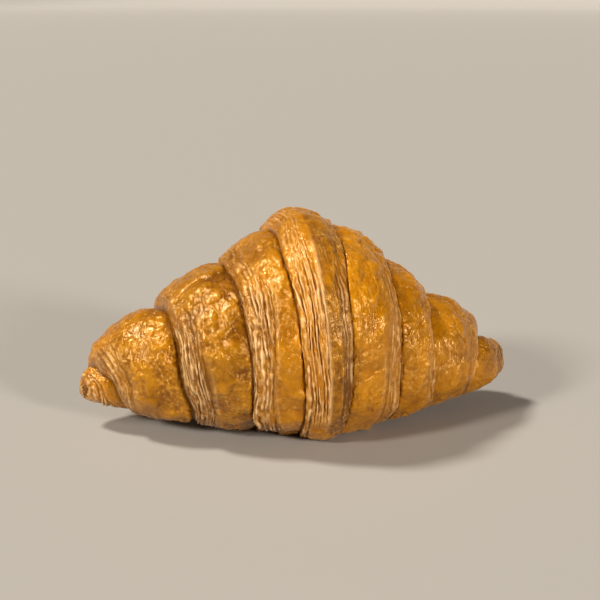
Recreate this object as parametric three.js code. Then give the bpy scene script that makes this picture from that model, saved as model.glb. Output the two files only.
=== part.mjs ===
// A butter croissant, about 17 cm from tip to tip, standing on its flat belly.
//
// Lengths are millimetres. X runs along the roll, from the coiled knob (-X) to the
// other tip (+X). -Y is the front, where the tongue of dough comes down. Z is up,
// and the belly rests on z = 0.
//
// A croissant is one long triangle of layered dough, rolled up from its wide side.
// What shows is the margin of every turn: a strip that starts at the tongue, runs
// round and round the roll on both sides, and ends at the two tips. So the crust is
// made here as two strips, left and right of the middle line. Each is a plane laid
// round the roll: one way it follows the turns, the other way it climbs from its own
// edge up to the next turn, which lies on top of it.

import * as THREE from "three";
import { mergeGeometries, mergeVertices } from "three/addons/utils/BufferGeometryUtils.js";

// The driving dimensions.

// The tongue ends under the roll, this many degrees round from the crown.
const TONGUE_ANGLE = 200;

// Turns at which the roll crosses the belly and the crown, and how far the dough's
// edge has moved out from the middle at each of those crossings.
const CROSSINGS = [0, 0.056, 0.556, 1.056, 1.556, 2.056, 2.556, 3.056, 3.556, 4.056];
const LEFT_EDGE = [0, 7.1, 9.8, 24.0, 27.0, 44.9, 51.8, 66.0, 79.6, 84.2];
const RIGHT_EDGE = [0, 3.3, 13.5, 26.5, 33.6, 41.9, 48.2, 58.8, 76.0, 87.8];

// Height of the crown, height of the belly and half depth of the roll, at the
// creases between the bands. The last station is the tip, where all of them meet.
const STATIONS = [0, 12, 33, 54, 72];
const LEFT_CROWN = [83.2, 73.6, 58.8, 45.4, 36.2];
const RIGHT_CROWN = [83.2, 77.4, 63.4, 42.8, 32.1];
const LEFT_BELLY = [-3.2, -0.7, 1.8, 4.6, 8.2];
const RIGHT_BELLY = [-3.2, -0.2, 1.8, 5.6, 7.3];
const HALF_DEPTH = [46.4, 44.5, 33.0, 22.0, 11.8];
const LEFT_TIP_HEIGHT = 13;
const RIGHT_TIP_HEIGHT = 17;

// How each band swells, at a few turns of the roll: 0.4 is a square shoulder, 1 a
// long slope. Over the crown the left bands slope more than they do in front.
const SHOULDER_TURNS = [0.3, 1.1, 1.55, 2.1, 2.35, 2.6, 3.1, 4.1];
const LEFT_SHOULDERS = [0.66, 0.86, 0.92, 0.46, 0.42, 0.64, 0.54, 0.58];
const RIGHT_SHOULDERS = [0.8, 0.8, 0.6, 0.42, 0.42, 0.48, 0.42, 0.6];
const BELLY_SHOULDER = 0.65;

// The roll's own cross-section: the axis lies a little under half height, and the
// section is slightly squarer than an ellipse.
const AXIS_SHARE = 0.47;
const SQUARENESS = 2.2;

// The bands lean to the right on their way down the front; the two tips bend back.
const LEAN = 5.6;
const TIP_BEND = 8;

// The edge of each turn: it wanders, hangs over the band below it, and is pressed in.
const EDGE_WANDER = 0.8;
const OVERHANG = 1.1;
const CREASE_DEPTH = 1.0;
const TONGUE_THICKNESS = 2.0;

// Gaps between the baked layers, seen on the steep side of every band: how far up
// the band each one lies (as a share of its width) and how deep it is.
const LAYER_GAPS = [0.11, 0.2, 0.3, 0.42];
const GAP_DEPTHS = [1.0, 0.9, 0.75, 0.55];
const GAP_HALF_WIDTH = 0.045;

// Blisters on the smooth part of the crust.
const BLISTER_HEIGHT = 0.55;

// Steps of the mesh: round one turn, and the places across one band.
const STEPS_PER_TURN = 42;
const ACROSS = [0, 0.035, 0.07, 0.11, 0.155, 0.2, 0.25, 0.3, 0.36, 0.42, 0.5, 0.65, 0.82, 0.93, 1];

// Small helpers.

const radians = THREE.MathUtils.degToRad;
const clamp = THREE.MathUtils.clamp;
const smooth = THREE.MathUtils.smoothstep;

// A curve through (xs, ys) that never overshoots between two of its points.
function through(xs, ys) {
  const last = xs.length - 1;
  const slopes = [];
  for (let i = 0; i < last; i++) {
    slopes.push((ys[i + 1] - ys[i]) / (xs[i + 1] - xs[i]));
  }
  const tangents = [slopes[0]];
  for (let i = 1; i < last; i++) {
    const before = slopes[i - 1];
    const after = slopes[i];
    tangents.push(before * after > 0 ? (2 * before * after) / (before + after) : 0);
  }
  tangents.push(slopes[last - 1]);
  return (x) => {
    let i = 0;
    while (i < last - 1 && x > xs[i + 1]) i++;
    const step = xs[i + 1] - xs[i];
    const u = clamp((x - xs[i]) / step, 0, 1);
    const w = 1 - u;
    return (
      ys[i] * (1 + 2 * u) * w * w +
      tangents[i] * step * u * w * w +
      ys[i + 1] * u * u * (3 - 2 * u) -
      tangents[i + 1] * step * u * u * w
    );
  };
}

// The two sides of the roll.

function makeSide(sign, edge, crown, belly, tipHeight, shoulders) {
  const tip = edge[edge.length - 1];
  const stations = [...STATIONS, tip];
  return {
    sign,
    tip,
    tipHeight,
    edge: through(CROSSINGS, edge),
    crown: through(stations, [...crown, tipHeight]),
    belly: through(stations, [...belly, tipHeight]),
    depth: through(stations, [...HALF_DEPTH, 0]),
    shoulder: through(SHOULDER_TURNS, shoulders),
  };
}

const LAST_CROSSING = CROSSINGS[CROSSINGS.length - 1];
// The last turn is the tip's own cap: it runs one whole turn past the edge's end.
const TURNS = (Math.floor(LAST_CROSSING * STEPS_PER_TURN) + 1) / STEPS_PER_TURN + 1;

const LEFT = makeSide(-1, LEFT_EDGE, LEFT_CROWN, LEFT_BELLY, LEFT_TIP_HEIGHT, LEFT_SHOULDERS);
const RIGHT = makeSide(1, RIGHT_EDGE, RIGHT_CROWN, RIGHT_BELLY, RIGHT_TIP_HEIGHT, RIGHT_SHOULDERS);

// Distance of the dough's edge from the middle, after so many turns. It wanders a
// little, and less where the tongue and the tip are narrow.
function edgeAt(side, turn) {
  const wander = Math.sin(23 * turn + 2 * side.sign) + 0.7 * Math.sin(41 * turn + 1.3);
  const room = smooth(turn, 0.05, 0.5) * (1 - smooth(turn, 3.2, 3.9));
  return side.edge(turn) + 0.6 * EDGE_WANDER * wander * room;
}

// Low round swellings, as the steam lifts the top layer. Both numbers are lengths on
// the crust: one round the roll, one along it.
function blisters(round, along) {
  const a = Math.sin(0.55 * round + 0.8 * Math.sin(0.31 * along));
  const b = Math.sin(0.71 * along + 0.9 * Math.sin(0.27 * round + 1.1));
  const c = Math.sin(0.23 * round - 0.37 * along + 0.6);
  return 0.6 * a * b + 0.4 * c;
}

// One point of the crust. `turn` counts the turns back from the end of the tongue,
// `across` runs from 0 at the strip's own edge to 1 at the crease under the next turn.
function crust(side, turn, across) {
  // The crease under a turn is that turn's own edge, so both are made as one point.
  if (across === 1 && turn > 1) return crust(side, turn - 1, 0);
  const outer = turn < LAST_CROSSING ? edgeAt(side, turn) : side.tip;
  const inner = turn > 1 ? (turn - 1 < LAST_CROSSING ? edgeAt(side, turn - 1) : side.tip) : 0;
  const width = outer - inner;

  // From its edge each band climbs steeply, then levels off towards the next turn.
  const climb = Math.pow(1 - (1 - across) ** 2, side.shoulder(turn));
  const bellyClimb = Math.pow(1 - (1 - across) ** 2, BELLY_SHOULDER);
  const mix = THREE.MathUtils.lerp;
  const crown = mix(side.crown(outer), side.crown(inner), climb);
  const belly = mix(side.belly(outer), side.belly(inner), bellyClimb);
  const depth = mix(side.depth(outer), side.depth(inner), climb);

  // Radius of the rounded section in this direction.
  const angle = radians(TONGUE_ANGLE - 360 * turn);
  const axis = mix(belly, crown, AXIS_SHARE);
  const reach = Math.cos(angle) > 0 ? crown - axis : axis - belly;
  if (depth < 1e-6 || reach < 1e-6) {
    return new THREE.Vector3(side.sign * side.tip, TIP_BEND * (side.tip / 80) ** 2, side.tipHeight);
  }
  let radius = Math.pow(
    Math.pow(Math.abs(Math.sin(angle)) / depth, SQUARENESS) +
      Math.pow(Math.abs(Math.cos(angle)) / reach, SQUARENESS),
    -1 / SQUARENESS,
  );

  // Relief is full on a wide, thick band and dies out towards the tips.
  const room = clamp(width / 14, 0, 1) * clamp(radius / 16, 0, 1);
  // The middle line of the first turn is no crease: both sides pass over it smoothly.
  const nextTurn = turn > 1 ? smooth(across, 0.86, 1) : 0;
  const pressed = 1 - smooth(across, 0.0, 0.06) * (1 - nextTurn);
  radius -= CREASE_DEPTH * pressed * room;
  LAYER_GAPS.forEach((gap, i) => {
    const near = clamp(1 - Math.abs(across - gap) / GAP_HALF_WIDTH, 0, 1);
    // A gap opens and closes along the roll.
    const open = 0.65 + 0.35 * Math.sin(9 * turn + 4 * i + side.sign);
    radius -= GAP_DEPTHS[i] * near * open * room;
  });
  const along = mix(outer, inner, across);
  const smoothPart = smooth(across, 0.3, 0.6) * (1 - smooth(across, 0.8, 1));
  radius += BLISTER_HEIGHT * blisters(angle * radius, side.sign * along) * smoothPart * room;
  const tongue = smooth(turn, 0, 0.03) * (1 - smooth(turn, 0.2, 0.5));
  radius += TONGUE_THICKNESS * tongue * Math.sqrt(1 - (1 - across) ** 2);

  const hang = OVERHANG * Math.sin(Math.PI * clamp(across / 0.2, 0, 1)) ** 2 * room;
  const lean = (LEAN * (1 - Math.cos(angle)) * clamp(depth / 30, 0, 1)) / 2;
  return new THREE.Vector3(
    side.sign * (along + hang) + lean,
    TIP_BEND * (along / 80) ** 2 - radius * Math.sin(angle),
    Math.max(axis + radius * Math.cos(angle), 0),
  );
}

// A plane with one cell per step, laid round the roll. On the left the plane is laid
// the other way up, so that both sides face outwards.
function strip(side) {
  const steps = Math.round(TURNS * STEPS_PER_TURN);
  const rows = ACROSS.length - 1;
  const plane = new THREE.PlaneGeometry(steps, rows, steps, rows);
  const place = plane.attributes.position;
  for (let i = 0; i < place.count; i++) {
    const step = Math.round(place.getX(i) + steps / 2);
    const row = Math.round(place.getY(i) + rows / 2);
    const across = ACROSS[side.sign > 0 ? row : rows - row];
    const point = crust(side, step / STEPS_PER_TURN, across);
    place.setXYZ(i, point.x, point.y, point.z);
  }
  plane.deleteAttribute("normal");
  plane.deleteAttribute("uv");
  return plane;
}

// Join the strips at their shared edges and drop the cells that closed to nothing
// at the tongue's end and at the two tips.
function joined(pieces) {
  const whole = mergeVertices(mergeGeometries(pieces), 1e-4);
  const kept = [];
  const corners = whole.index.array;
  for (let i = 0; i < corners.length; i += 3) {
    const [a, b, c] = [corners[i], corners[i + 1], corners[i + 2]];
    if (a !== b && b !== c && c !== a) kept.push(a, b, c);
  }
  whole.setIndex(kept);
  return whole;
}

const geometry = joined([strip(LEFT), strip(RIGHT)]);

// Stand it with the middle of its outline over the origin.
geometry.computeBoundingBox();
const middle = geometry.boundingBox.getCenter(new THREE.Vector3());
geometry.translate(-middle.x, -middle.y, 0);
geometry.computeVertexNormals();

// Egg-washed crust, baked to a deep golden brown with a soft gloss.
const bakedCrust = new THREE.MeshStandardMaterial({
  color: 0xc17a22,
  roughness: 0.42,
  metalness: 0,
});

const croissant = new THREE.Mesh(geometry, bakedCrust);
croissant.name = "croissant";

const part = new THREE.Group();
part.name = "butter_croissant";
part.add(croissant);

export default part;
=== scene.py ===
# %% [markdown]
# # A butter croissant
#
# This lesson dresses one butter croissant, about 17 cm long. A croissant is a long
# triangle of layered dough, rolled up from its wide side. What shows outside is the
# margin of every turn, a strip that starts at the pointed tongue and runs round and
# round the roll to both tips. We rebuild that strip, press the baked layers and
# blisters into it, and give it an egg-washed crust.
#
# The imported model is the fixed frame, and it is loaded first.

# %% Load the frame
import math

import bmesh
import bpy
import numpy as np
from mathutils import Matrix, Vector


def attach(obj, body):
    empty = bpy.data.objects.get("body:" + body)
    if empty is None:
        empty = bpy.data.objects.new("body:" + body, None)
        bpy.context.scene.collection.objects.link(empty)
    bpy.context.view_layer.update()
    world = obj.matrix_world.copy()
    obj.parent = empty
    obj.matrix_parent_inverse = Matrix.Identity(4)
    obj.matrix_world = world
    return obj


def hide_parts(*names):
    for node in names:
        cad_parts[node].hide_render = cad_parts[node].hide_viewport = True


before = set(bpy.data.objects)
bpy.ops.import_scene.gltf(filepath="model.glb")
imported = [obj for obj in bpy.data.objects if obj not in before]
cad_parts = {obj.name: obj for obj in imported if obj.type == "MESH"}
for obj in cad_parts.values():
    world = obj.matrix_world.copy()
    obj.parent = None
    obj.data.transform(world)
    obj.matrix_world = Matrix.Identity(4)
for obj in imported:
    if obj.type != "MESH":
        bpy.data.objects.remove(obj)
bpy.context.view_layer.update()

# %% [markdown]
# ## Measures of the roll
#
# The crust follows a few real measures in millimetres: where the dough's edge lies
# each time it crosses the belly and the crown, and how high, low and deep the roll is
# at the creases between the bands. They could be traced as outlines, but a rolled strip
# needs only these few, and they are the solid's own, so the dressed croissant lies over
# it.

# %% The roll's own measures, in millimetres
MM = 0.001
# How far from the middle the heights and depths of the creases are measured.
STATIONS = [0, 12, 33, 54, 72]
HALF_DEPTH = [46.4, 44.5, 33.0, 22.0, 11.8]
# The dough's edge starts at the tongue's end. It crosses the belly soon after, and then
# the crown and the belly by turns, every half turn of the dough.
FIRST_CROSSING = 0.056
CROSSINGS = [0.0] + [FIRST_CROSSING + halves / 2 for halves in range(9)]
LAST_CROSSING = CROSSINGS[-1]

SIDES = {
    "left": {
        "name": "left",
        "sign": -1.0,
        "edge": [0, 7.1, 9.8, 24.0, 27.0, 44.9, 51.8, 66.0, 79.6, 84.2],
        "crown": [83.2, 73.6, 58.8, 45.4, 36.2],
        "belly": [-3.2, -0.7, 1.8, 4.6, 8.2],
        "tip_height": 13.0,
    },
    "right": {
        "name": "right",
        "sign": 1.0,
        "edge": [0, 3.3, 13.5, 26.5, 33.6, 41.9, 48.2, 58.8, 76.0, 87.8],
        "crown": [83.2, 77.4, 63.4, 42.8, 32.1],
        "belly": [-3.2, -0.2, 1.8, 5.6, 7.3],
        "tip_height": 17.0,
    },
}
for side in SIDES.values():
    print("the", side["name"], "tip lies", side["edge"][-1], "mm from the middle")

# %% [markdown]
# ## Helpers for curves and noise
#
# `through` draws a smooth curve through a few measures without overshooting them,
# `rise` is a smooth step from 0 to 1, and `hill` is a smooth hump. `lumps` is a random
# height with about one lump for each unit of length, `cracks` are the thin lines where
# it passes through zero, and `bubbles` is a field of round blisters. Blender has noise
# of its own for scripts, but it takes one point at a time. These take a whole grid of
# points at once, and they are worked out from whole numbers, so the crust comes out the
# same every time.

# %% Curves through measures
def through(xs, ys, x):
    """The height at `x` of a smooth curve through the points (xs, ys)."""
    xs = np.asarray(xs, float)
    ys = np.asarray(ys, float)
    slopes = np.diff(ys) / np.diff(xs)
    tangents = np.concatenate([slopes[:1], np.zeros(len(xs) - 2), slopes[-1:]])
    # At a peak or a dip the curve is level, and elsewhere it leans to the flatter side.
    before, after = slopes[:-1], slopes[1:]
    same_way = before * after > 0
    total = np.where(same_way, before + after, 1.0)
    tangents[1:-1] = np.where(same_way, 2 * before * after / total, 0.0)
    i = np.clip(np.searchsorted(xs, x, side="left") - 1, 0, len(xs) - 2)
    step = xs[i + 1] - xs[i]
    u = np.clip((x - xs[i]) / step, 0, 1)
    w = 1 - u
    return (ys[i] * (1 + 2 * u) * w * w + tangents[i] * step * u * w * w
            + ys[i + 1] * u * u * (3 - 2 * u) - tangents[i + 1] * step * u * u * w)


def rise(x, low, high):
    """0 below `low`, 1 above `high`, and a smooth step between them."""
    u = np.clip((x - low) / (high - low), 0, 1)
    return u * u * (3 - 2 * u)


def hill(x, middle, width):
    """A smooth hump: 1 at `middle`, and nearly 0 two widths away."""
    return np.exp(-((x - middle) / width) ** 2)


SAMPLE_STATION = 20.0
for side in SIDES.values():
    print("crown", SAMPLE_STATION, "mm out on the", side["name"], "side:",
          round(float(through(STATIONS, side["crown"], SAMPLE_STATION)), 1), "mm high")

# %% Random lumps, cracks and bubbles
# Large odd numbers that stir the whole numbers of a cell's address.
STIR = (374761393, 668265263, 2147483647, 974634777)
STIR_AGAIN = 1274126177
LOW_32_BITS = 0xFFFFFFFF
LOW_16_BITS = 0xFFFF
# Patches come from noise by its middle and its contrast.
PATCH_MIDDLE = 0.5
PATCH_CONTRAST = 1.2
# The smallest blister's radius, and how much larger one may be, as shares of the size.
LEAST_BLISTER = 0.35
BLISTER_SPREAD = 0.55


def scatter(i, j, k, seed):
    """A random number from 0 to 1 for the cell (i, j, k)."""
    mixed = (i * STIR[0] + j * STIR[1] + k * STIR[2] + seed * STIR[3]) & LOW_32_BITS
    mixed = ((mixed ^ (mixed >> 13)) * STIR_AGAIN) & LOW_32_BITS
    return ((mixed ^ (mixed >> 16)) & LOW_16_BITS) / LOW_16_BITS


def lumps(x, y, z=0.0, seed=0):
    """Smooth noise from -1 to 1, with about one lump for each unit of length."""
    x, y, z = np.broadcast_arrays(x, y, z)
    corner = [np.floor(c).astype(np.int64) for c in (x, y, z)]
    part = [c - f for c, f in zip((x, y, z), corner)]
    part = [p * p * (3 - 2 * p) for p in part]
    total = 0.0
    for a in (0, 1):
        for b in (0, 1):
            for c in (0, 1):
                share = ((part[0] if a else 1 - part[0]) * (part[1] if b else 1 - part[1])
                         * (part[2] if c else 1 - part[2]))
                total = total + share * scatter(corner[0] + a, corner[1] + b, corner[2] + c, seed)
    return 2 * total - 1


def cracks(x, y, z, seed, sharp):
    """Thin lines where smooth noise passes through zero: 1 on the line, 0 off it."""
    return (1 - np.abs(lumps(x, y, z, seed))) ** sharp


def patches(noise, least=0):
    """Noise from -1 to 1 made patchy: 1 in the patches and `least` between them."""
    return np.clip(PATCH_MIDDLE + PATCH_CONTRAST * noise, least, 1)


def bubbles(place, size, seed, share):
    """Round blisters about `size` mm apart: 1 at the middle of one, 0 between them."""
    scaled = place / size
    corner = np.floor(scaled).astype(np.int64)
    best = np.zeros(place.shape[:-1])
    for a in (-1, 0, 1):
        for b in (-1, 0, 1):
            for c in (-1, 0, 1):
                cell = corner + np.array([a, b, c])
                i, j, k = cell[..., 0], cell[..., 1], cell[..., 2]
                heart = cell + np.stack([scatter(i, j, k, seed + n) for n in (1, 2, 3)], -1)
                reach = LEAST_BLISTER + BLISTER_SPREAD * scatter(i, j, k, seed + 4)
                there = scatter(i, j, k, seed + 5) < share
                gap = np.sum((scaled - heart) ** 2, -1) / reach ** 2
                best = np.maximum(best, np.where(there, np.clip(1 - gap, 0, 1), 0))
    return best


print("lumps along a line:", np.round(lumps(np.arange(9) + 0.5, 0.5, 0.5, seed=1), 2))

# %% [markdown]
# ## The bands
#
# Every point of the crust has two addresses: `turn`, how many turns of the dough lie
# between it and the end of the tongue, and `across`, from 0 at the band's own edge to
# 1 at the crease where the next turn covers it. A band climbs steeply from its edge
# and then levels off, and this one rule gives the stepped outline of the croissant.
# The bands could be modelled one by one, but then their edges would not run on round
# the roll, as a strip's do.

# %% Where the dough's edge lies
# The edge wanders by about half a millimetre, in a slow and a fast wave. Their numbers
# are radians for each turn of the dough, and the phase differs from side to side.
EDGE_WANDER = 0.48
SLOW_WAVE = 23
FAST_WAVE = 41
FAST_SHARE = 0.7
FAST_PHASE = 1.3
SIDE_PHASE = 2
# Between these turns the wander grows from nothing, and near the tip it dies away.
WANDER_GROWS = (0.05, 0.5)
WANDER_FADES = (3.2, 3.9)


def edge_at(side, turn):
    """How far from the middle the dough's edge lies, in mm."""
    wander = (np.sin(SLOW_WAVE * turn + SIDE_PHASE * side["sign"])
              + FAST_SHARE * np.sin(FAST_WAVE * turn + FAST_PHASE))
    room = rise(turn, *WANDER_GROWS) * (1 - rise(turn, *WANDER_FADES))
    edge = through(CROSSINGS, side["edge"], turn) + EDGE_WANDER * wander * room
    return np.where(turn < LAST_CROSSING, edge, side["edge"][-1])


at_crown = np.array(CROSSINGS[2::2])
for side in SIDES.values():
    print("creases at the crown,", side["name"], "side:", np.round(edge_at(side, at_crown), 1))

# %% [markdown]
# ## The roll's cross-section
#
# Cut through, the roll is a rounded shape a little squarer than an ellipse, taller above
# its axis than below it. Angles are counted from the crown, over the front to the belly
# and up the back, so the tongue ends just past the middle of the belly. Where a band
# meets the next turn it is pressed in, its own edge hangs over a little, and the tongue
# lies on top of the roll with the thickness of the dough.

# %% How steeply a band climbs from its edge
SHOULDER_TURNS = [0.3, 1.1, 1.55, 2.1, 2.35, 2.6, 3.1, 4.1]
# A low exponent gives a steep side and a level top, and a high one an even slope.
SHOULDERS = {
    "left": [0.66, 0.86, 0.92, 0.46, 0.42, 0.64, 0.54, 0.58],
    "right": [0.8, 0.8, 0.74, 0.42, 0.42, 0.6, 0.5, 0.6],
}
BELLY_SHOULDER = 0.65


def climb(across, shoulder):
    """How much of the step from one crease to the next lies below this point."""
    return (1 - (1 - across) ** 2) ** shoulder


def between_creases(stations, measures, outer, inner, share):
    """A measure of the roll, `share` of the way from the outer crease to the inner."""
    low = through(stations, measures, outer)
    return low + (through(stations, measures, inner) - low) * share


for name, shoulders in SHOULDERS.items():
    print("climb a tenth of the way over the", name, "bands:",
          [round(climb(0.1, shoulder), 2) for shoulder in shoulders])

# %% One band, before any relief
TONGUE_ANGLE = 200.0
AXIS_SHARE = 0.47
SQUARENESS = 2.2
# Nothing is divided by less than this.
TINY = 1e-9
CREASE_DEPTH = 0.8
# Shares of the band's width that its own edge and the next turn press in.
CREASE_SHARE = 0.05
UNDER_NEXT = (0.92, 1)
# Narrow bands and the thin tips have shallower creases and overhangs, in mm.
WIDE_BAND = 14
THICK_ROLL = 16
OVERHANG = 1.1
OVERHANG_SHARE = 0.2
TONGUE_THICKNESS = 2.0
TONGUE_RISES = (0, 0.03)
TONGUE_SINKS = (0.2, 0.5)
# The belly lies further right than the crown, but not at the thin tips.
LEAN = 5.6
LEANING_DEPTH = 30
# Both tips bend to the back, by 8 mm where they are 80 mm from the middle.
TIP_BEND = 8.0
TIP_BEND_AT = 80
# The solid stands with the middle of its box over the origin, so the bands move too.
CENTRE = np.array([1.8, -0.732, 0.0])


def cross_section(crown, belly, depth, angle):
    """The height of the roll's axis, and the distance from it to the crust, in mm."""
    axis = belly + (crown - belly) * AXIS_SHARE
    reach = np.maximum(np.where(np.cos(angle) > 0, crown - axis, axis - belly), TINY)
    radius = ((np.abs(np.sin(angle)) / depth) ** SQUARENESS
              + (np.abs(np.cos(angle)) / reach) ** SQUARENESS) ** (-1 / SQUARENESS)
    return axis, radius


def band(side, turn, across):
    """Places of the crust's points in mm, with the measures that the relief needs."""
    stations = STATIONS + [side["edge"][-1]]
    outer = edge_at(side, turn)
    inner = np.where(turn > 1, edge_at(side, np.maximum(turn - 1, 0)), 0.0)
    width = outer - inner

    def measure(measures, last, shoulder):
        return between_creases(stations, measures + [last], outer, inner, climb(across, shoulder))

    shoulder = through(SHOULDER_TURNS, SHOULDERS[side["name"]], turn)
    crown = measure(side["crown"], side["tip_height"], shoulder)
    belly = measure(side["belly"], side["tip_height"], BELLY_SHOULDER)
    depth = np.maximum(measure(HALF_DEPTH, 0.0, shoulder), TINY)
    angle = np.radians(TONGUE_ANGLE - 360 * turn)
    axis, radius = cross_section(crown, belly, depth, angle)

    room = np.clip(width / WIDE_BAND, 0, 1) * np.clip(radius / THICK_ROLL, 0, 1)
    next_turn = np.where(turn > 1, rise(across, *UNDER_NEXT), 0)
    pressed = 1 - rise(across, 0, CREASE_SHARE) * (1 - next_turn)
    radius = radius - CREASE_DEPTH * pressed * room
    tongue = rise(turn, *TONGUE_RISES) * (1 - rise(turn, *TONGUE_SINKS))
    radius = radius + TONGUE_THICKNESS * tongue * np.sqrt(1 - (1 - across) ** 2)

    along = outer + (inner - outer) * across
    hang = OVERHANG * np.sin(np.pi * np.clip(across / OVERHANG_SHARE, 0, 1)) ** 2 * room
    lean = LEAN * (1 - np.cos(angle)) * np.clip(depth / LEANING_DEPTH, 0, 1) / 2
    place = np.stack([
        side["sign"] * (along + hang) + lean,
        TIP_BEND * (along / TIP_BEND_AT) ** 2 - radius * np.sin(angle),
        np.maximum(axis + radius * np.cos(angle), 0),
    ], -1) - CENTRE
    return place, {"turn": turn, "across": across, "width": width, "angle": angle,
                   "radius": radius}


front_turn = (TONGUE_ANGLE - 90) / 360
front, _ = band(SIDES["left"], np.array([front_turn]), np.array([1.0]))
print("the middle line at the front, in mm:", np.round(front[0], 1))

# %% [markdown]
# ## The crust's relief
#
# Baking gives the crust five kinds of relief. On the steep side of each band the cut
# dough shows its layers: thin crisp sheets with dark gaps, about a millimetre apart,
# that run round the roll, wander and merge, and fade over the crown. Near the next turn
# the skin is smooth and carries blisters of 4 to 8 mm. Where the skin dried before it
# stopped swelling it wrinkles, at the crown it is gathered into short folds, and
# everywhere there is a fine grain. A bump in the material would shade all this, but each
# kind is made as a height in millimetres instead, added along the crust's own normal, so
# it shows in the outline as well.

# %% Baked layers on the steep side of a band
# Counting the sheets from well outside the band keeps their numbers above zero.
COUNT_FROM = 40.0
# Lines of sheets: mm apart, mm between breaks, seed, sharpness and shift in mm.
DEEP_GAPS = (3.3, 20, 24, 7, 0.0)
THIN_GAPS = (1.15, 9, 25, 2.5, 0.3)
CRISP_EDGES = (1.15, 6, 26, 2, 0.87)
# Bends of the sheets: mm long, mm wide, mm of bend and seed.
LONG_BEND = (28, 6, 1.2, 21)
SHORT_BEND = (8, 2.5, 0.4, 22)
JITTER = (1.8, 0.9, 0.14, 23)
# Crumbs on the sheets: mm long, mm wide, height in mm and seed.
CRUMBS = (1.6, 0.4, 0.24, 27)
# Every sheet reads its breaks from a row of its own in the noise.
NOISE_ROW = 1.7
# Heights and depths in mm.
EDGE_HEIGHT = 0.46
DEEP_GAP_DEPTH = 0.65
THIN_GAP_DEPTH = 0.5
LAYERS_SUNK = 0.05
# How dark the painted shade in the gaps is, what crumbs cover of it, and how pale the
# crests are, partly of their own and partly with a painted highlight.
DEEP_GAP_SHADE = 1.2
THIN_GAP_SHADE = 1.15
GAP_START = 0.15
CRUMBS_COVER = 0.25
CREST_SHARP = 1.5
CRUMBS_PALE = 0.5
GAPS_HIDE = 0.6


def sheet_lines(round_mm, across_mm, apart, run, seed, sharp, shift):
    """Lines `apart` mm from each other, each with its own breaks every `run` mm or so."""
    phase = (across_mm + (COUNT_FROM + shift)) / apart
    sheet = np.floor(phase)
    line = (1 - np.abs(2 * (phase - sheet) - 1)) ** sharp
    return line * patches(lumps(round_mm / run, NOISE_ROW * sheet, seed=seed))


def layer_relief(roll, round_mm, from_edge):
    """The layers' height in mm, their gaps' painted shade, and pale crests with a painted
    highlight.
    """
    def bend(long, wide, high, seed):
        return high * lumps(round_mm / long, from_edge / wide, roll, seed)

    across_mm = from_edge + (bend(*LONG_BEND) + bend(*SHORT_BEND)) + bend(*JITTER)
    deep_gap = sheet_lines(round_mm, across_mm, *DEEP_GAPS)
    thin_gap = sheet_lines(round_mm, across_mm, *THIN_GAPS)
    crisp_edge = sheet_lines(round_mm, across_mm, *CRISP_EDGES)
    long, wide, high, seed = CRUMBS
    crumbs = lumps(round_mm / long, across_mm / wide, roll, seed)
    height = (EDGE_HEIGHT * crisp_edge - DEEP_GAP_DEPTH * deep_gap
              - THIN_GAP_DEPTH * thin_gap + high * crumbs - LAYERS_SUNK)
    # The gaps are painted dark as their shade.
    gap = np.clip(DEEP_GAP_SHADE * deep_gap + THIN_GAP_SHADE * thin_gap - GAP_START
                  - CRUMBS_COVER * crumbs, 0, 1)
    # The crests are pale of their own and are painted with a highlight.
    crest_paleness_and_highlight = np.clip(crisp_edge ** CREST_SHARP + CRUMBS_PALE * crumbs - GAPS_HIDE * gap, 0, 1)
    return height, gap, crest_paleness_and_highlight


heights, _, _ = layer_relief(1.0, np.zeros(400), np.linspace(0, 12, 400))
print("layers, lowest and highest in mm:", heights.min().round(2), heights.max().round(2))

# %% [markdown]
# ## Blisters and wrinkles
#
# A large blister is a round dome, so its height is the square root of a bubble's, and a
# small one is flatter. Smooth noise pulls both out of round. The wrinkles are cracks
# turned upside down, ridges where the noise passes through zero: folds 4 mm apart and
# crinkles 1 mm apart, in loose patches. The same shapes, mixed in other shares, make the
# skin paler where it stands up: partly the thin skin's own paler colour, and partly
# painted light on the blisters and the wrinkles' ridges.

# %% Blisters and wrinkles on the smooth skin
# Blisters: mm apart, seed, the share of the places that has one, and how far in mm the
# noise pulls them out of round.
LARGE_BLISTERS = (8.0, 31, 0.75, 2.2)
SMALL_BLISTERS = (3.6, 41, 0.5, 1.1)
PULL_MM = 5
PULL_SEED = 33
# Wrinkles: mm apart, mm long, twist, seed and sharpness.
FOLDS = (4.4, 7, 0.6, 52, 5)
CRINKLES = (1.2, 1.9, 0.5, 53, 3)
# Size in mm, share and seed of the fine part of the twist.
FINE_TWIST = (2, 0.5, 36)
# Size in mm and seed, and how much wrinkling is left between the patches.
WRINKLED_PATCHES = (9, 54)
BETWEEN_PATCHES = 0.1
# Dents: mm along the roll, mm round it, and seed.
DENTS = (2.2, 2.6, 55)
# Heights in mm, and the same shapes' shares of the paleness, which is partly painted
# light on the raised parts.
SKIN_HEIGHT = {"large": 0.58, "small": 0.24, "dents": 0.12, "fold": 0.75, "crinkle": 0.36}
SKIN_PALE_AND_LIT = {"large": 0.5, "small": 0.35, "dents": 0.25, "fold": 0.5, "crinkle": 0.6}


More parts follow.
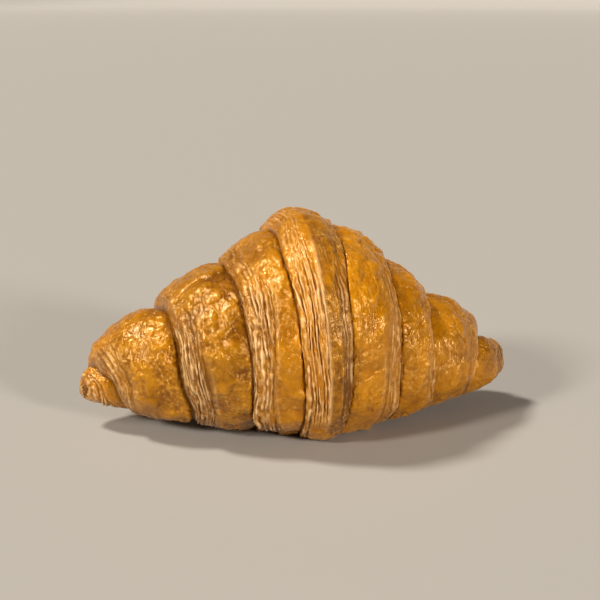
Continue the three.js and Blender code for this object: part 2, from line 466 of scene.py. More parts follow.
def skin_relief(place, wrinkled):
    """The skin's height in mm, and how pale it is: partly its own, partly painted light."""
    x, y, z = (place[..., i] for i in range(3))

    def even_lumps(size, seed):
        return lumps(x / size, y / size, z / size, seed)

    pull = np.stack([even_lumps(PULL_MM, PULL_SEED + n) for n in range(3)], -1)
    size, share, seed = FINE_TWIST
    twist = pull[..., 0] + share * even_lumps(size, seed)

    def blisters(apart, seed, share, pulled):
        return bubbles(place + pulled * pull, apart, seed, share)

    def wrinkles(apart, long, twisted, seed, sharp):
        return cracks(x / apart + twisted * twist, y / long, z / long, seed, sharp)

    large, small = blisters(*LARGE_BLISTERS), blisters(*SMALL_BLISTERS)
    fold, crinkle = wrinkles(*FOLDS), wrinkles(*CRINKLES)
    strength = wrinkled * patches(even_lumps(*WRINKLED_PATCHES), BETWEEN_PATCHES)
    along, around, seed = DENTS
    dents = lumps(x / along, y / around, z / around, seed)

    def mixed(part):
        return (part["large"] * np.sqrt(large) + part["small"] * small + part["dents"] * dents
                + strength * (part["fold"] * fold + part["crinkle"] * crinkle))

    return mixed(SKIN_HEIGHT), np.clip(mixed(SKIN_PALE_AND_LIT), 0, 1)


heights, _ = skin_relief(np.stack([np.linspace(0, 60, 400)] * 3, -1), 1.0)
print("skin, lowest and highest in mm:", heights.min().round(2), heights.max().round(2))

# %% [markdown]
# ## Where each kind of relief lies
#
# Layers near a band's edge, skin near the next turn: the border wanders along the band
# and is kept as a share of the band's width. Here and there the skin ends on the layers
# as a torn edge over a thin groove. The tongue is one band over both sides of the middle
# line, so its sheets are counted from its left edge on both sides. In front the layers
# of its left half end at the middle line with one raised edge, from the crown on they
# pass it, and the tongue's own end is a smooth knob.

# %% A point's place on its band, in mm
# The way round the roll is 250 mm at the tongue and 40 mm shorter with every turn.
WAY_ROUND = 250.0
ROUND_LOSS = 40.0
# The crown lies where the cosine of the angle passes between these.
ON_CROWN = (0.5, 0.95)
# Each band's own finish is reached here: the tongue's in front, the others' soon after
# they start under the belly.
BAND_TURNS = [0.3, 1.1, 2.1, 3.1, 4.1]


def addresses(side, facts):
    """The band's facts with the ways round and across it, and what lies on the crown."""
    turn, across = facts["turn"], facts["across"]
    tongue = turn <= 1
    right_of_tongue = tongue & (side["sign"] > 0)
    from_left = edge_at(SIDES["left"], turn) + (1 - across) * facts["width"]
    return facts | {
        "tongue": tongue,
        "right_of_tongue": right_of_tongue,
        "roll": np.where(tongue, SIDES["left"]["sign"], side["sign"]),
        "round_mm": turn * (WAY_ROUND - ROUND_LOSS * turn / 2),
        "from_edge": np.where(right_of_tongue, from_left, across * facts["width"]),
        "on_crown": rise(np.cos(facts["angle"]), *ON_CROWN),
    }


print("way round at the tip:", round(WAY_ROUND - ROUND_LOSS * LAST_CROSSING), "mm a turn")

# %% The border between the layers and the skin
# Shares of the band's width, for the tongue and then for each turn.
LAYERED = {"left": [1.3, 0.54, 0.4, 0.2, 0.72], "right": [0.45, 0.3, 0.3, 0.22, 0.3]}
# The border's waves: mm long, share of the layers' own width, and seed.
BORDER_WAVES = [(22, 0.22, 11), (6, 0.1, 12)]
# The layers fade into the skin over these shares of the band, before and past the border.
BORDER_START = 0.14
BORDER_END = 0.06
# Over the crown the layers bake together: they are narrower and lower.
CROWN_NARROWS = 0.3
CROWN_LOWERS = 0.6
# Past the middle line: where the tongue's layers end as a share of its right half, that
# border's wave in mm, share and seed, its blur, and the turns where they begin.
PAST_MIDDLE = 0.5
PAST_WAVE = (18, 0.06, 14)
PAST_BLUR = 0.05
PAST_BEGINS = (0.4, 0.46)
PAST_CROWN_LOWERS = 0.85
# The knob ends between these turns, and only its rim shows layers.
KNOB_ENDS = (0.2, 0.25)
KNOB_RIM = (0.2, 0.3)


def layered_reach(side, facts):
    """Share of the band's width, from its own edge, that shows the layers."""
    waves = 1
    for length, share, seed in BORDER_WAVES:
        waves = waves + share * lumps(facts["round_mm"] / length, side["sign"], seed=seed)
    reach = through(BAND_TURNS, LAYERED[side["name"]], facts["turn"]) * waves
    return reach * (1 - CROWN_NARROWS * facts["on_crown"])


def layered_share(side, facts, reach):
    """1 on the layers and 0 on the skin."""
    turn, across, on_crown = facts["turn"], facts["across"], facts["on_crown"]
    layered = 1 - rise(across, reach - BORDER_START, reach + BORDER_END)
    layered = layered * (1 - CROWN_LOWERS * on_crown)
    # Behind the front, the tongue's layers pass the middle line and end in a wavy border.
    length, share, seed = PAST_WAVE
    border = PAST_MIDDLE + share * lumps(facts["round_mm"] / length, 0.5, seed=seed)
    past = rise(across, border - PAST_BLUR, border + PAST_BLUR) * facts["right_of_tongue"]
    past = past * rise(turn, *PAST_BEGINS) * (1 - PAST_CROWN_LOWERS * on_crown)
    off_knob = np.maximum(rise(turn, *KNOB_ENDS), 1 - rise(across, *KNOB_RIM))
    return np.maximum(layered, past) * np.where(facts["tongue"], off_knob, 1)


for name, shares in LAYERED.items():
    print("layered shares,", name, "side:", shares)

# %% The skin's torn edge, the tongue's ridge and the folds at the crown
# The skin is torn where this wave, with its length in mm and its seed, rises over these.
TORN_WAVE = (16, 13)
TORN_WHERE = (-0.25, 0.45)
# How far past the border the torn edge and the groove under it lie, and how wide they
# are, as shares of the band's width.
RIM = (0.05, 0.025)
UNDER_RIM = (-0.03, 0.018)
# The turns over which the tongue's ridge begins and ends, and its width in mm.
RIDGE_BEGINS = (0.18, 0.24)
RIDGE_ENDS = (0.4, 0.5)
RIDGE_WIDTH = 0.8
# Folds at the crown: mm apart, mm long, seed and sharpness, then the size in mm, share
# and seed of their bends. They end between 4 and 9 mm from the crease.
GATHERS = (1.7, 3.5, 63, 3)
GATHER_BENDS = (4, 0.8, 64)
GATHER_REACH = (4, 9)


def skin_edge(side, facts, reach):
    """The torn edge of the skin and the groove under it, later painted with a highlight and a
    shadow.
    """
    length, seed = TORN_WAVE
    torn = rise(lumps(facts["round_mm"] / length, side["sign"], seed=seed), *TORN_WHERE)
    torn = torn * (1 - facts["on_crown"])
    beyond = facts["across"] - reach
    return hill(beyond, *RIM) * torn, hill(beyond, *UNDER_RIM) * torn


def middle_ridge(facts):
    """The raised edge along the middle line of the tongue's front."""
    turn = facts["turn"]
    ridge = rise(turn, *RIDGE_BEGINS) * (1 - rise(turn, *RIDGE_ENDS)) * facts["tongue"]
    return ridge * hill((1 - facts["across"]) * facts["width"], 0, RIDGE_WIDTH)


def crown_gathers(side, place, facts):
    """Short folds beside each crease at the crown."""
    size, share, bend_seed = GATHER_BENDS
    bend = share * lumps(*(place[..., i] / size for i in range(3)), bend_seed)
    apart, long, seed, sharp = GATHERS
    gather = cracks(facts["round_mm"] / apart + bend, facts["from_edge"] / long,
                    side["sign"], seed, sharp)
    gather = gather * facts["on_crown"] * (1 - rise(facts["from_edge"], *GATHER_REACH))
    return gather * np.where(facts["right_of_tongue"], 0, 1)


print("folds at the crown:", GATHERS[0], "mm apart")

# %% [markdown]
# ## The relief as one height
#
# The kinds are added up, each with its strength on this band, over a slow swell and a
# fine grain. Nothing may stand up at the crease lines, where two turns share their
# points, or at the two ends of the strip, so the sum fades out there. The finish later
# needs to know what lies where, and gets that as masks from 0 to 1.

# %% The whole relief, with the masks that the finish reads
# How strongly the layers stand out, how wrinkled the skin is and how browned each band
# is, for the tongue and then for each turn.
CRISP = {"left": [1.0, 1.0, 0.9, 0.6, 0.9], "right": [0.38, 0.55, 0.5, 0.5, 0.5]}
WRINKLED = {"left": [0.5, 0.9, 0.6, 1.2, 0.8], "right": [0.7, 1.0, 1.0, 0.9, 0.7]}
TOAST = {"left": [0.1, 0.4, 1.1, 0.9, 0.2], "right": [0.85, 0.1, 0.15, 0.3, 0.5]}
CROWN_SMOOTHS = 0.55
# Painted light from above: the left crown's colour is made paler by this share.
CROWN_PAINTED_LIGHT = 0.35
# Lumps on all of the crust: mm across, height in mm and seed.
SWELL = [(15, 0.7, 61), (6, 0.35, 62)]
GRAIN = [(1.2, 0.11, 71), (2.4, 0.12, 72)]
SKIN_SUNK = 0.35
RIM_HEIGHT = 0.1
UNDER_RIM_DEPTH = 0.25
RIDGE_HEIGHT = 0.5
GATHER_HEIGHT = 0.35
# Next to a crease the relief fades over these shares of the band's width.
LIP_SHARE = 0.03
NEXT_SHARE = 0.05
# It fades too at the tongue's end and where a tip's radius is less than 6 mm.
KNOB_TURNS = 0.05
THIN_TIP = 6
# The right half of the tongue is darker, but not along the middle line.
MIDDLE_LINE = (0.9, 1)
# What the masks keep on a band whose layers hardly stand out, and the shares in the
# masks of the painted highlight on the skin's edge, the painted shadow in the groove
# under it and the painted light on the folds.
GAP_LEAST = 0.15
CREST_LEAST = 0.1
UNDER_RIM_SHADOW = 0.6
RIM_HIGHLIGHT = 0.35
GATHER_PALE_AND_LIT = 0.5


def summed_lumps(place, kinds):
    """Lumps of several kinds added up, in mm."""
    x, y, z = (place[..., i] for i in range(3))
    total = 0
    for size, height, seed in kinds:
        total = total + height * lumps(x / size, y / size, z / size, seed)
    return total


def browning(side, facts):
    """How browned the crust is, apart from its patches; the left crown is painted paler, as light
    from above.
    """
    toast = through(BAND_TURNS, TOAST[side["name"]], facts["turn"])
    if side["sign"] < 0:
        return toast - CROWN_PAINTED_LIGHT * facts["on_crown"]
    return np.where(facts["tongue"], toast * (1 - rise(facts["across"], *MIDDLE_LINE)), toast)


def relief(side, place, facts):
    """The relief's height in mm at each place, and the masks for the finish."""
    facts = addresses(side, facts)
    turn, across = facts["turn"], facts["across"]
    reach = layered_reach(side, facts)
    layered = layered_share(side, facts, reach)
    rim, under_rim = skin_edge(side, facts, reach)
    ridge = middle_ridge(facts)
    gather = crown_gathers(side, place, facts)
    crisp = through(BAND_TURNS, CRISP[side["name"]], turn)
    wrinkled = through(BAND_TURNS, WRINKLED[side["name"]], turn)
    wrinkled = wrinkled * (1 - CROWN_SMOOTHS * facts["on_crown"])
    layer_height, gap, crest_paleness_and_highlight = layer_relief(facts["roll"], facts["round_mm"], facts["from_edge"])
    skin_height, raised_skin_pale_and_lit = skin_relief(place, wrinkled)
    total = (layered * crisp * layer_height + (1 - layered) * (skin_height - SKIN_SUNK)
             + RIM_HEIGHT * rim - UNDER_RIM_DEPTH * under_rim + RIDGE_HEIGHT * ridge
             + summed_lumps(place, SWELL) + summed_lumps(place, GRAIN) + GATHER_HEIGHT * gather)

    lip = rise(across, 0, LIP_SHARE)
    near_next = np.where(turn > 1, rise(1 - across, 0.0, NEXT_SHARE), 1.0)
    ends = rise(turn, 0, KNOB_TURNS) * np.clip(facts["radius"] / THIN_TIP, 0, 1)
    gap_share = GAP_LEAST + (1 - GAP_LEAST) * crisp
    crest_share = CREST_LEAST + (1 - CREST_LEAST) * crisp
    return total * lip * near_next * ends, {
        # Painted shade in the layers' gaps, and a painted shadow in the groove under the skin's
        # edge.
        "gap": np.clip(gap * layered * gap_share + UNDER_RIM_SHADOW * under_rim, 0, 1) * lip,
        "layered": layered,
        # The crests' own paleness, with a painted highlight on them.
        "crest_paleness_and_highlight": crest_paleness_and_highlight * layered * crest_share,
        # A painted highlight on the skin's torn edge and along the tongue's ridge.
        "rim": np.clip(RIM_HIGHLIGHT * rim + ridge, 0, 1),
        # Paler raised skin: partly its own colour, partly painted light on blisters and folds.
        "raised_skin_pale_and_lit": np.clip(raised_skin_pale_and_lit + GATHER_PALE_AND_LIT * gather, 0, 1) * (1 - layered),
        # The toast mask also carries painted light, which makes the left crown paler.
        "toast": browning(side, facts),
        # Painted shade: the crust is painted dark brown in every crease, where shade falls.
        "crease": np.clip(1 - lip * near_next, 0, 1),
    }


print("swell and grain, in mm:", [kind[1] for kind in SWELL + GRAIN])

# %% [markdown]
# ## From flat grids to a rolled crust
#
# Each part of the strip starts as a flat grid, one cell per step round the roll and
# per step across the band, and is wrapped round the roll. A sculpted ball would need no
# wrapping, but its faces would cross the layers, where a grid's run along them. The
# croissant is made as seven closed pieces, so that each can have fine cells: the band
# of the tongue, and on each side the first turn, the second turn and the tip. They meet
# in the creases and under the belly, where no join shows.


def steps(number):
    return number


def cells_across(on_layers, on_skin, layers_end):
    """Steps from 0 to 1 across a band, whose layers end at `layers_end`."""
    return np.concatenate([np.linspace(0, layers_end, steps(on_layers), endpoint=False),
                           np.linspace(layers_end, 1, steps(on_skin) + 1)])


# %% Raise the relief from the smooth band
# A normal shorter than this belongs to no surface, and is left at nothing.
NO_NORMAL = 1e-12


def strip_points(side, turns, across):
    """A grid of smooth places for these turns and shares, with its relief and masks."""
    turn, share = np.meshgrid(turns, across, indexing="ij")
    place, facts = band(side, turn, share)
    heights, masks = relief(side, place, facts)
    return place, heights, masks


def outward(place, sign):
    """The crust's normals, from the ways round and across it."""
    normal = np.cross(np.gradient(place, axis=0), np.gradient(place, axis=1)) * sign
    return normal / np.maximum(np.linalg.norm(normal, axis=-1, keepdims=True), NO_NORMAL)


def raise_relief(place, heights, sign):
    """The places moved along their normals, but never below the floor."""
    raised = place + outward(place, sign) * heights[..., None]
    raised[..., 2] = np.maximum(raised[..., 2], 0)
    return raised


_, heights, _ = strip_points(SIDES["right"], np.linspace(1.2, 1.4, 80), np.linspace(0, 1, 80))
print("relief on the first right band, in mm:", heights.min().round(2), heights.max().round(2))

# %% The tongue's band: both sides of the middle line, one turn long
TONGUE_STEPS = 560
TONGUE_CELLS = {"left": (96, 8, 0.95), "right": (40, 26, 0.5)}


def tongue_points():
    """The band's raised places, from its left edge to its right edge, and its masks."""
    turns = np.linspace(0, 1, steps(TONGUE_STEPS) + 1)
    left, right = (strip_points(SIDES[name], turns, cells_across(*cells))
                   for name, cells in TONGUE_CELLS.items())

    def whole(a, b):
        """The left half with the right half after it, from edge to edge."""
        return np.concatenate([a, b[:, ::-1][:, 1:]], axis=1)

    place = whole(left[0], right[0])
    masks = {key: whole(left[2][key], right[2][key]) for key in left[2]}
    return raise_relief(place, whole(left[1], right[1]), SIDES["left"]["sign"]), masks


TONGUE_GRID = tongue_points()
print("tongue, points round and across:", TONGUE_GRID[0].shape[:2])

# %% A side roll: a whole turn, or the last turns with the tip
TO_THE_TIP = math.inf


def roll_points(side, first, last, per_turn, across):
    """The raised places of a side's strip from its first to its last turn, and its masks."""
    per_turn = steps(per_turn)
    # The strip goes on for a turn after its edge has reached the tip.
    last = min(last, (math.floor(LAST_CROSSING * per_turn) + 1) / per_turn + 1)
    turns = np.arange(round(first * per_turn), round(last * per_turn) + 1) / per_turn
    place, heights, masks = strip_points(side, turns, across)
    raised = raise_relief(place, heights, side["sign"])
    # Under the next turn the strip ends on that turn's own edge.
    raised[per_turn + 1:, -1] = raised[1:max(len(raised) - per_turn, 1), 0]
    return raised, masks


print("turns from the tongue's end to the tip:", round(LAST_CROSSING + 1, 2))

# %% [markdown]
# ## Wrapping and closing
#
# `create_grid` makes the flat sheet, and every vertex is moved to its place on the
# crust. Merging the doubles sews each turn to the next. What stays open is the loop in
# the crease beside the tongue, and it is filled and drawn together inside the roll, so
# that each piece is a closed solid. The loop's edges are marked sharp, which keeps the
# hidden wall from bending the crust's shading.

# %% Wrap and sew a piece
# Distances in metres: the points of one place, and an edge with no length.
SAME_PLACE = 2e-8
NO_LENGTH = 1e-8


def wrap_grid(raised, masks):
    """A flat grid with every vertex moved to its place, and the masks on its vertices."""
    rows, columns = raised.shape[:2]
    crust = bmesh.new()
    # A grid of size 0.5 reaches from -0.5 to 0.5 both ways.
    half = 0.5
    bmesh.ops.create_grid(crust, x_segments=columns - 1, y_segments=rows - 1, size=half)
    layers = {key: crust.verts.layers.float.new(key) for key in masks}
    for vertex in crust.verts:
        column = int(round((vertex.co.x + half) * (columns - 1)))
        row = int(round((vertex.co.y + half) * (rows - 1)))
        vertex.co = Vector(raised[row, column] * MM)
        for key, layer in layers.items():
            vertex[layer] = float(masks[key][row, column])
    bmesh.ops.remove_doubles(crust, verts=crust.verts, dist=SAME_PLACE)
    bmesh.ops.dissolve_degenerate(crust, dist=NO_LENGTH, edges=crust.edges)
    return crust


tongue = wrap_grid(*TONGUE_GRID)
print("tongue, faces once sewn:", len(tongue.faces))

# %% Close a piece and make it an object
def close_piece(crust, name):
    """The sewn crust with its inner wall, as an object."""
    bmesh.ops.triangulate(crust, faces=crust.faces)
    rims = [edge for edge in crust.edges if edge.is_boundary]
    walls = bmesh.ops.holes_fill(crust, edges=rims, sides=0)["faces"]
    for edge in rims:
        edge.smooth = False
    bmesh.ops.poke(crust, faces=walls)
    bmesh.ops.recalc_face_normals(crust, faces=crust.faces)
    for face in crust.faces:
        face.smooth = True
    loose = sum(not edge.is_manifold for edge in crust.edges)
    print(name, "faces:", len(crust.faces), " walls:", len(walls), " open edges:", loose)
    mesh = bpy.data.meshes.new(name)
    crust.to_mesh(mesh)
    crust.free()
    piece = bpy.data.objects.new(name, mesh)
    bpy.context.scene.collection.objects.link(piece)
    return piece


CROISSANT = [close_piece(tongue, "tongue_band")]

# %% The turns and tips of both sides
# Name, side, first and last turn, steps a turn, and the cells across: on the layers, on
# the skin, and where the layers end.
ROLLS = [
    ("left_first_turn", "left", 1, 2, 500, (120, 60, 0.62)),
    ("left_second_turn", "left", 2, 3, 460, (100, 80, 0.5)),
    ("left_tip", "left", 3, TO_THE_TIP, 320, (40, 70, 0.25)),
    ("right_first_turn", "right", 1, 2, 500, (80, 80, 0.45)),
    ("right_second_turn", "right", 2, 3, 460, (70, 90, 0.35)),
    ("right_tip", "right", 3, TO_THE_TIP, 320, (40, 70, 0.3)),
]
for name, side_name, first, last, per_turn, cells in ROLLS:
    points = roll_points(SIDES[side_name], first, last, per_turn, cells_across(*cells))
    CROISSANT.append(close_piece(wrap_grid(*points), name))
print("pieces:", len(CROISSANT))

# %% [markdown]
# ## Egg-washed crust
#
# The skin of a croissant is brushed with beaten egg, which bakes to a thin clear glaze
# over toasted starch and butter. To the eye that gives a saturated golden brown that is
# darker where it browned longest, paler on loose dry flakes, and a soft gloss broken up
# by fine wrinkles. Painted shade darkens the gaps between the layers and the creases.
# Painted light makes the left crown paler, and painted highlights lie over the crisp
# edges of the layers, the skin's edges and the raised blisters and wrinkles, which are
# also a little paler of their own. The gloss itself is tinted, because butter and
# toasted egg swallow the blue of what they mirror.
# A picture could carry all this, but it would stretch over the folds. The patterns come
# from noise on the object's own coordinates instead, each with its size in millimetres,
# and the masks made with the relief say where the layers, gaps and blisters are.

# %% Colours and nodes
def linear(code):
    """An sRGB hex colour as linear numbers, with an alpha of 1."""
    parts = [int(code[i:i + 2], 16) / 255 for i in (0, 2, 4)]
    return [p / 12.92 if p <= 0.04045 else ((p + 0.055) / 1.055) ** 2.4 for p in parts] + [1.0]


def add_node(tree, kind, settings=None, inputs=None):
    """One node with its settings; an input is a value, or a socket to link."""
    node = tree.nodes.new(kind)
    for key, value in (settings or {}).items():
        setattr(node, key, value)
    for key, value in (inputs or {}).items():
        if isinstance(value, bpy.types.NodeSocket):
            tree.links.new(value, node.inputs[key])
        else:
            node.inputs[key].default_value = value
    return node


GOLDEN = linear("AE6E04")
TOASTED = linear("603201")
print("golden crust, linear:", [round(part, 3) for part in GOLDEN])

# %% The patterns and masks of the crust
# Size in mm, detail, roughness and distortion of the noise, then the stretch of it that
# is used and the numbers which that becomes. The sizes run from patches of browning as
# wide as a band down to dry flakes. The browning becomes numbers around nothing, so it
# adds to a band's own toast or takes from it.
PATTERNS = {
    "browning": (18.1818, 4.0, 0.6, 0.6, (0.3, 0.7), (-0.5, 0.5)),
    "flecks": (3.0303, 4.0, 0.7, 0.0, (0.48, 0.66), (0, 1)),
    "flakes": (1.53846, 3.0, 0.65, 0.0, (0.5, 0.66), (0, 1)),
    "flaky_patches": (11.1111, 3.0, 0.5, 0.0, (0.38, 0.6), (0, 1)),
    "butter": (8.33333, 4.0, 0.65, 0.4, (0.5, 0.72), (0, 1)),
    "gloss": (5.55556, 3.0, 0.6, 0.0, (0.3, 0.7), (0.15, 0.3)),
}
MASKS = ["toast", "raised_skin_pale_and_lit", "layered", "crest_paleness_and_highlight", "rim", "gap", "crease"]


def add_patterns(tree, place):
    """The sockets of every pattern and mask, by name."""
    found = {}
    for name, (size_mm, detail, rough, distortion, used, becomes) in PATTERNS.items():
        noise = add_node(tree, "ShaderNodeTexNoise", None, {
            "Vector": place, "Scale": 1 / (size_mm * MM), "Detail": detail,
            "Roughness": rough, "Distortion": distortion})
        stretched = add_node(tree, "ShaderNodeMapRange", None, {
            "Value": noise.outputs["Fac"], "From Min": used[0], "From Max": used[1],
            "To Min": becomes[0], "To Max": becomes[1]})
        found[name] = stretched.outputs["Result"]
    for name in MASKS:
        mask = add_node(tree, "ShaderNodeAttribute", {"attribute_name": name})
        found[name] = mask.outputs["Fac"]
    return found


print("patterns and masks:", len(PATTERNS) + len(MASKS))

# %% The colour, from the golden crust up
# Pattern or mask, strength and colour of each coat, the later ones on top.
COATS = [
    ("flecks", 0.4, "8A500A"),
    ("flakes", 0.5, "E6B25C"),
    ("butter", 0.3, "D09210"),
    # The raised skin is paler: partly its own colour, partly painted light.
    ("raised_skin_pale_and_lit", 0.4, "D8960E"),
    ("layered", 0.06, "D9A050"),
    # The crests are pale of their own and carry a painted highlight.
    ("crest_paleness_and_highlight", 0.92, "FFDCA6"),
    # A painted highlight on the skin's torn edge and the tongue's ridge.
    ("rim", 0.35, "FFDCA6"),
    # Painted shade in the layers' gaps and a painted shadow under the skin's edge.
    ("gap", 0.9, "421C00"),
    # Painted shade in the creases.
    ("crease", 0.75, "421C00"),
]
# A colour Mix keeps its share in socket 0 and its two colours in 6 and 7, and gives
# the mixed colour from socket 2.
SHARE, UNDER, OVER, MIXED = 0, 6, 7, 2


def crust_colour(tree, found):
    """Browned on the well-baked bands, painted paler on the left crown, then coated, with painted
    light and shade.
    """
    browned = add_node(tree, "ShaderNodeMath", {"operation": "ADD", "use_clamp": True}, {
        0: found["toast"], 1: found["browning"]})
    colour = add_node(tree, "ShaderNodeMix", {"data_type": "RGBA"}, {
        SHARE: browned.outputs[0], UNDER: GOLDEN, OVER: TOASTED})
    # The dry flakes lie in loose patches.
    flakes = add_node(tree, "ShaderNodeMath", {"operation": "MULTIPLY"}, {
        0: found["flakes"], 1: found["flaky_patches"]})
    found = found | {"flakes": flakes.outputs[0]}
    for name, strength, code in COATS:
        share = add_node(tree, "ShaderNodeMath", {"operation": "MULTIPLY"}, {
            0: found[name], 1: strength})
        colour = add_node(tree, "ShaderNodeMix", {"data_type": "RGBA"}, {
            SHARE: share.outputs[0], UNDER: colour.outputs[MIXED], OVER: linear(code)})
    return colour.outputs[MIXED]


print("coats of colour:", len(COATS))

# %% The glaze and the whole material
# Baked egg is about as clear and dense as varnish. Its thin coat is glossier than the
# crust, and the loose flakes catch golden light along the outline.
GLAZE = {
    "IOR": 1.48,
    "Specular IOR Level": 0.95,
    "Specular Tint": linear("FFCE84"),
    "Coat Weight": 0.12,
    "Coat Roughness": 0.14,
    "Sheen Weight": 0.25,
    "Sheen Roughness": 0.35,
    "Sheen Tint": linear("FFB23C"),
}
LAYERS_DRIER = 0.05
FINE_GRAIN_MM = 0.76923
BUMP_STRENGTH = 0.4
BUMP_METRES = 0.0005


def make_egg_washed_crust():
    material = bpy.data.materials.new("egg_washed_crust")
    material.use_nodes = True
    tree = material.node_tree
    shader = tree.nodes["Principled BSDF"]
    place = add_node(tree, "ShaderNodeTexCoord").outputs["Object"]
    found = add_patterns(tree, place)
    tree.links.new(crust_colour(tree, found), shader.inputs["Base Color"])

    rough = add_node(tree, "ShaderNodeMath", {"operation": "MULTIPLY_ADD"}, {
        0: found["layered"], 1: LAYERS_DRIER, 2: found["gloss"]})
    tree.links.new(rough.outputs[0], shader.inputs["Roughness"])
    for name, value in GLAZE.items():
        shader.inputs[name].default_value = value

    fine = add_node(tree, "ShaderNodeTexNoise", None, {
        "Vector": place, "Scale": 1 / (FINE_GRAIN_MM * MM), "Detail": 4.0, "Roughness": 0.6})
    bump = add_node(tree, "ShaderNodeBump", None, {
        "Strength": BUMP_STRENGTH, "Distance": BUMP_METRES, "Height": fine.outputs["Fac"]})
    tree.links.new(bump.outputs["Normal"], shader.inputs["Normal"])
    return material


crust_material = make_egg_washed_crust()
for piece in CROISSANT:
    piece.data.materials.append(crust_material)
print(crust_material.name, "nodes:", len(crust_material.node_tree.nodes))

# %% [markdown]
# ## What the pieces stand for
#
# All seven pieces ride on the one body, and together they stand for the one solid of
# the croissant, which is hidden. Splitting the solid itself would only have made joins
# that the real one doesn't have.

# %% Tell the frame
for piece in CROISSANT:
    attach(piece, "root")
    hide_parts("croissant")
print("pieces that stand for the croissant:", [piece.name for piece in CROISSANT])

# %% [markdown]
# ## The floor
#
# The croissant stands on a plain pale floor. A flat sheet would end in a line against
# the world's colour in the side views, so the floor is a wide round dish: one profile,
# flat and then bent up in a quarter circle, spun round the middle.

# %% A pale round floor that curves up far away
FLOOR_REACH = 12.0
FLOOR_BEND = 1.2
FLOOR_WALL = 2.6
BEND_STEPS = 8
SPIN_STEPS = 64
FLOOR_MERGE = 1e-4


def floor_profile():
    """Distances from the middle with heights, in metres."""
    flat = FLOOR_REACH - FLOOR_BEND
    angles = [math.radians(90 * step / BEND_STEPS) for step in range(BEND_STEPS + 1)]
    bend = [(flat + FLOOR_BEND * math.sin(a), FLOOR_BEND * (1 - math.cos(a))) for a in angles]
    return [(0.0, 0.0)] + bend + [(FLOOR_REACH, FLOOR_WALL)]


def make_floor():
    sweep = bmesh.new()
    points = [sweep.verts.new((x, 0.0, z)) for x, z in floor_profile()]
    lines = [sweep.edges.new(pair) for pair in zip(points, points[1:])]
    bmesh.ops.spin(sweep, geom=points + lines, cent=(0, 0, 0), axis=(0, 0, 1),
                   angle=math.radians(360), steps=SPIN_STEPS, use_merge=True)
    bmesh.ops.remove_doubles(sweep, verts=sweep.verts, dist=FLOOR_MERGE)
    bmesh.ops.recalc_face_normals(sweep, faces=sweep.faces)
    for face in sweep.faces:
        face.smooth = True
    mesh = bpy.data.meshes.new("floor")
    sweep.to_mesh(mesh)
    sweep.free()
    return bpy.data.objects.new("floor", mesh)


# %% Matt paint, which scatters the light and mirrors almost nothing
def make_matt_paint():
    material = bpy.data.materials.new("pale_matt_paint")
    material.use_nodes = True
    shader = material.node_tree.nodes["Principled BSDF"]
    shader.inputs["Base Color"].default_value = linear("A6A6A8")
    shader.inputs["Roughness"].default_value = 0.7
    return material


floor = make_floor()
floor.data.materials.append(make_matt_paint())
bpy.context.scene.collection.objects.link(floor)
print("floor faces:", len(floor.data.polygons))

# %% [markdown]
# ## Soft light
#
# The glaze only looks wet when it mirrors something bright, so one lamp rakes across the
# bands from the left front, as a bakery's window would, one stands high behind on the
# left, like the sky above it, and one fills the right. Near lamps would leave a bright
# spot on the floor, so these are sun lamps with a wide disc, which light it evenly on
# every side and still give soft shadows. Only their direction counts, so a lamp's place
# is just where it points from.

# %% Soft lamps
AIM = Vector((0, 0, 0.04))
# Name, place in metres, strength, colour, and how wide its disc is in degrees.
LAMPS = [
    ("window_lamp", (-0.9, -0.5, 0.6), 2.3, "FFF2DC", 9),
    ("sky_lamp", (-1.3, 0.5, 2.2), 2.9, "FFF4E0", 10),
    ("fill_lamp", (0.6, -1.0, 0.4), 2.3, "FFF2E2", 10),
]
WORLD_COLOUR = linear("F6DDB8")
WORLD_STRENGTH = 0.12

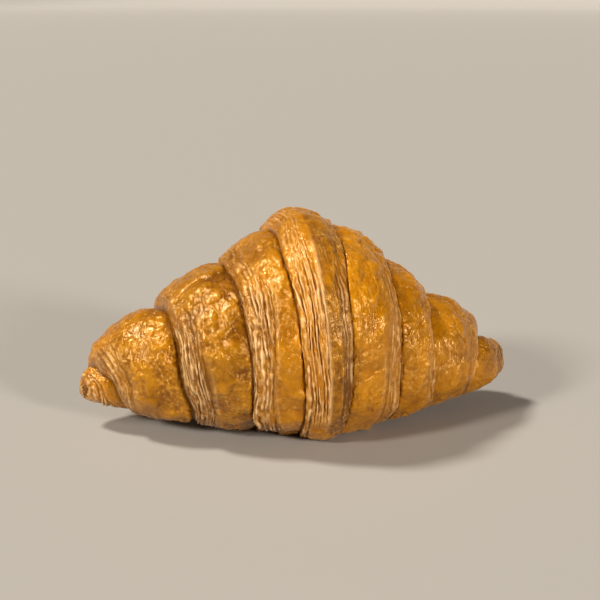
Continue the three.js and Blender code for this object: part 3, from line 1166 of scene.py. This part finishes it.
for name, place, strength, code, degrees in LAMPS:
    lamp = bpy.data.lights.new(name, "SUN")
    lamp.energy = strength
    lamp.color = linear(code)[:3]
    lamp.angle = math.radians(degrees)
    stand = bpy.data.objects.new(name, lamp)
    stand.location = place
    stand.rotation_euler = (AIM - stand.location).to_track_quat("-Z", "Y").to_euler()
    bpy.context.scene.collection.objects.link(stand)
    print(name, "strength:", strength)

world = bpy.data.worlds.new("studio")
bpy.context.scene.world = world
world.use_nodes = True
background = world.node_tree.nodes["Background"]
background.inputs["Color"].default_value = WORLD_COLOUR
background.inputs["Strength"].default_value = WORLD_STRENGTH

# %% [markdown]
# ## The camera
#
# The camera looks down at 18 degrees from a little to the left of the front, half a
# metre away, so that the croissant takes up most of the frame's width. It is aimed at a
# point inside the belly, and that point lies a little left of and below the middle of
# the frame, so the lens is shifted by that much instead of being turned away. The
# colours are shown as they are mixed, without a film curve.

# %% The camera
FRAME_PIXELS = 600.0
FRAME_MIDDLE = 300.0
FOCAL_PIXELS = 1200.0
# The pixel that the target lies on.
TARGET_PIXEL_X = 296.7
TARGET_PIXEL_Y = 378.1
TARGET_HEIGHT = 0.017
DISTANCE = 0.472
AZIMUTH = math.radians(-10.6)
ELEVATION = math.radians(17.9)
SENSOR_MM = 36.0


def add_camera():
    lens = bpy.data.cameras.new("photo_view")
    lens.sensor_width = SENSOR_MM
    lens.lens = SENSOR_MM * FOCAL_PIXELS / FRAME_PIXELS
    lens.shift_x = (FRAME_MIDDLE - TARGET_PIXEL_X) / FRAME_PIXELS
    lens.shift_y = (TARGET_PIXEL_Y - FRAME_MIDDLE) / FRAME_PIXELS
    camera = bpy.data.objects.new("photo_view", lens)
    back = Vector((math.sin(AZIMUTH) * math.cos(ELEVATION),
                   -math.cos(AZIMUTH) * math.cos(ELEVATION), math.sin(ELEVATION)))
    target = Vector((0, 0, TARGET_HEIGHT)) - Vector(CENTRE * MM)
    turned = (-back).to_track_quat("-Z", "Y").to_matrix().to_4x4()
    camera.matrix_world = Matrix.Translation(target + back * DISTANCE) @ turned
    bpy.context.scene.collection.objects.link(camera)
    bpy.context.scene.camera = camera
    return camera


camera = add_camera()
bpy.context.scene.view_settings.view_transform = "Standard"
bpy.context.scene.view_settings.look = "None"
print("camera at, in metres:", [round(value, 3) for value in camera.location])
